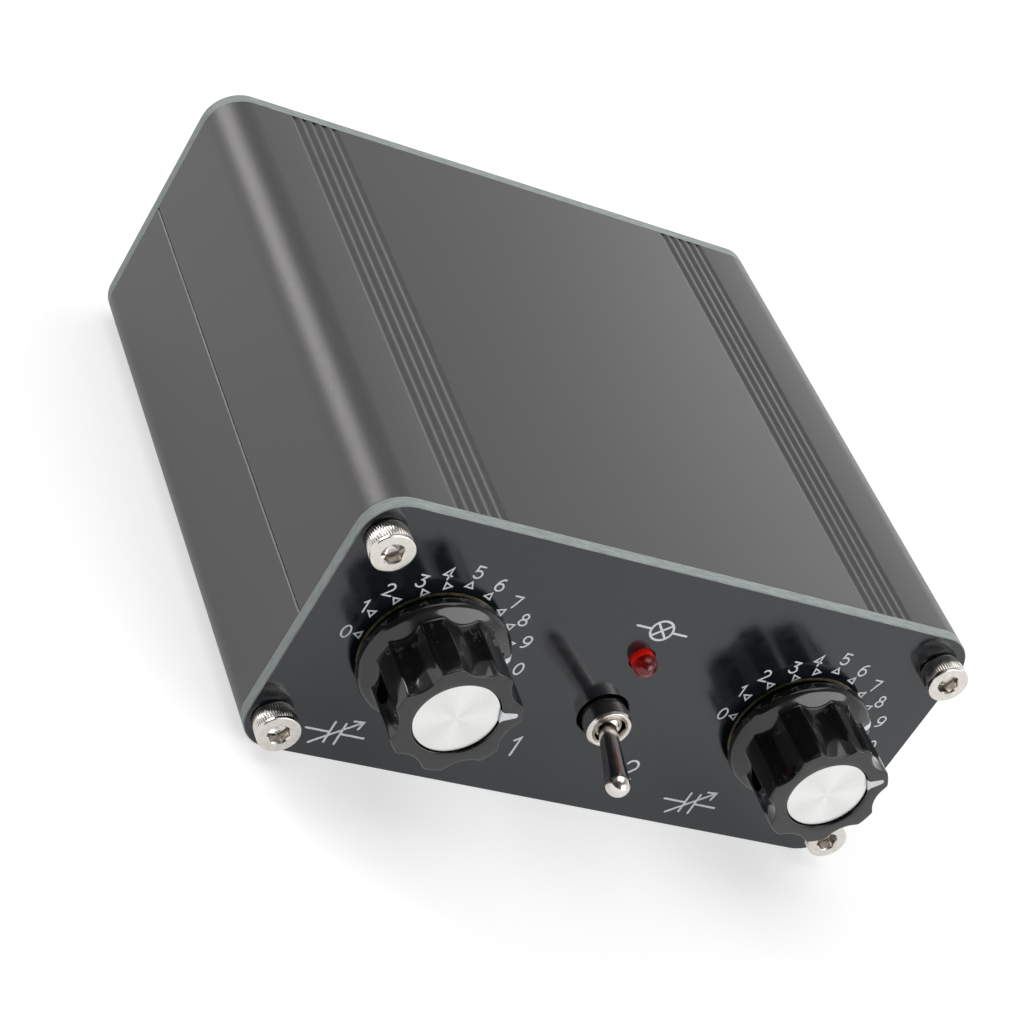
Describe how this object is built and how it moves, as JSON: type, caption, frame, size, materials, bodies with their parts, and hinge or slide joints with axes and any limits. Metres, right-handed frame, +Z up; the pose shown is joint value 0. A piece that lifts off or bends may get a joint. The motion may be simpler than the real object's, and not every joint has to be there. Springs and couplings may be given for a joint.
{
  "type": "antenna tuner",
  "caption": "Small metal-cased antenna tuner with two fluted pointer knobs over numbered dials, a toggle switch, a red lamp and coaxial sockets on the rear.",
  "frame": {"origin": "centre of the flat bottom face of the case", "axes": "+X to the right seen from the front, +Y from the front panel to the rear panel, +Z up"},
  "size_m": [0.088, 0.1125, 0.038],
  "materials": {
    "black_plastic": "moulded",
    "board": "green laminate",
    "brass": "plain turned",
    "clear_plastic": "clear",
    "copper": "enamelled copper",
    "ferrite": "grey ferrite",
    "gold": "gold plated",
    "iron_powder": "red coated iron powder",
    "knob": "gloss black moulding",
    "lamp": "clear red epoxy",
    "nickel": "bright nickel plate",
    "panel": "glossy blue-black laminate with a pale edge",
    "plate": "plain sheet",
    "resistor": "grey-blue lacquer",
    "shell": "satin dark grey anodised extrusion",
    "spun_aluminium": "spun, fine rings",
    "steel": "blackened steel",
    "switch_plastic": "blue moulding",
    "tinned_wire": "tinned",
    "white_plastic": "white insulator"
  },
  "bodies": {
    "case": {"lower_shell": "shell", "upper_shell": "shell", "front_panel": "panel", "rear_panel": "panel", "front_screw_low_left": "nickel", "front_screw_low_right": "nickel", "front_screw_high_left": "nickel", "front_screw_high_right": "nickel", "rear_screw_low_left": "nickel", "rear_screw_low_right": "nickel", "rear_screw_high_left": "nickel", "rear_screw_high_right": "nickel", "left_stator": "plate", "right_stator": "plate", "left_capacitor_housing": "clear_plastic", "right_capacitor_housing": "clear_plastic", "switch_bushing": "nickel", "switch_bracket": "nickel", "switch_body": "switch_plastic", "switch_terminal_left": "tinned_wire", "switch_terminal_middle": "tinned_wire", "switch_terminal_right": "tinned_wire", "lamp": "lamp", "lamp_lead_left": "tinned_wire", "lamp_lead_right": "tinned_wire", "main_board": "board", "coil_core": "iron_powder", "coil_main_winding": "copper", "coil_link_winding": "copper", "bridge_core": "ferrite", "bridge_winding": "copper", "bridge_resistor_1": "resistor", "bridge_resistor_2": "resistor", "bridge_resistor_3": "resistor", "left_socket_housing": "black_plastic", "left_socket_shell": "nickel", "left_socket_insulator": "white_plastic", "left_socket_contact": "gold", "left_socket_washer": "nickel", "left_socket_nut": "nickel", "right_socket_housing": "black_plastic", "right_socket_shell": "nickel", "right_socket_insulator": "white_plastic", "right_socket_contact": "gold", "right_socket_washer": "nickel", "right_socket_nut": "nickel"},
    "left_tuning": {"left_knob": "knob", "left_knob_disc": "spun_aluminium", "left_set_screw": "steel", "left_shaft": "brass", "left_rotor": "plate"},
    "right_tuning": {"right_knob": "knob", "right_knob_disc": "spun_aluminium", "right_set_screw": "steel", "right_shaft": "brass", "right_rotor": "plate"},
    "switch_lever_body": {"switch_lever": "nickel"},
    "switch_rocker_body": {"switch_rocker": "brass"}
  },
  "joints": [
    {"name": "left_knob_turn", "type": "hinge", "parent": "case", "child": "left_tuning", "pos_m": [-0.027, -0.0431, 0.019], "axis": [0, -1, 0], "range_deg": [-20, 160]},
    {"name": "right_knob_turn", "type": "hinge", "parent": "case", "child": "right_tuning", "pos_m": [0.027, -0.0431, 0.019], "axis": [0, -1, 0], "range_deg": [-35, 145]},
    {"name": "switch_lever_tilt", "type": "hinge", "parent": "case", "child": "switch_lever_body", "pos_m": [0, -0.0426, 0.0151], "axis": [0, 0, 1], "range_deg": [0, 25]},
    {"name": "switch_rocker_tilt", "type": "hinge", "parent": "case", "child": "switch_rocker_body", "pos_m": [0, -0.032, 0.0151], "axis": [0, 0, 1], "range_deg": [-20, 0]}
  ],
  "couplings": [
    {"joint": "switch_rocker_tilt", "follows": "switch_lever_tilt", "ratio": -0.8}
  ]
}
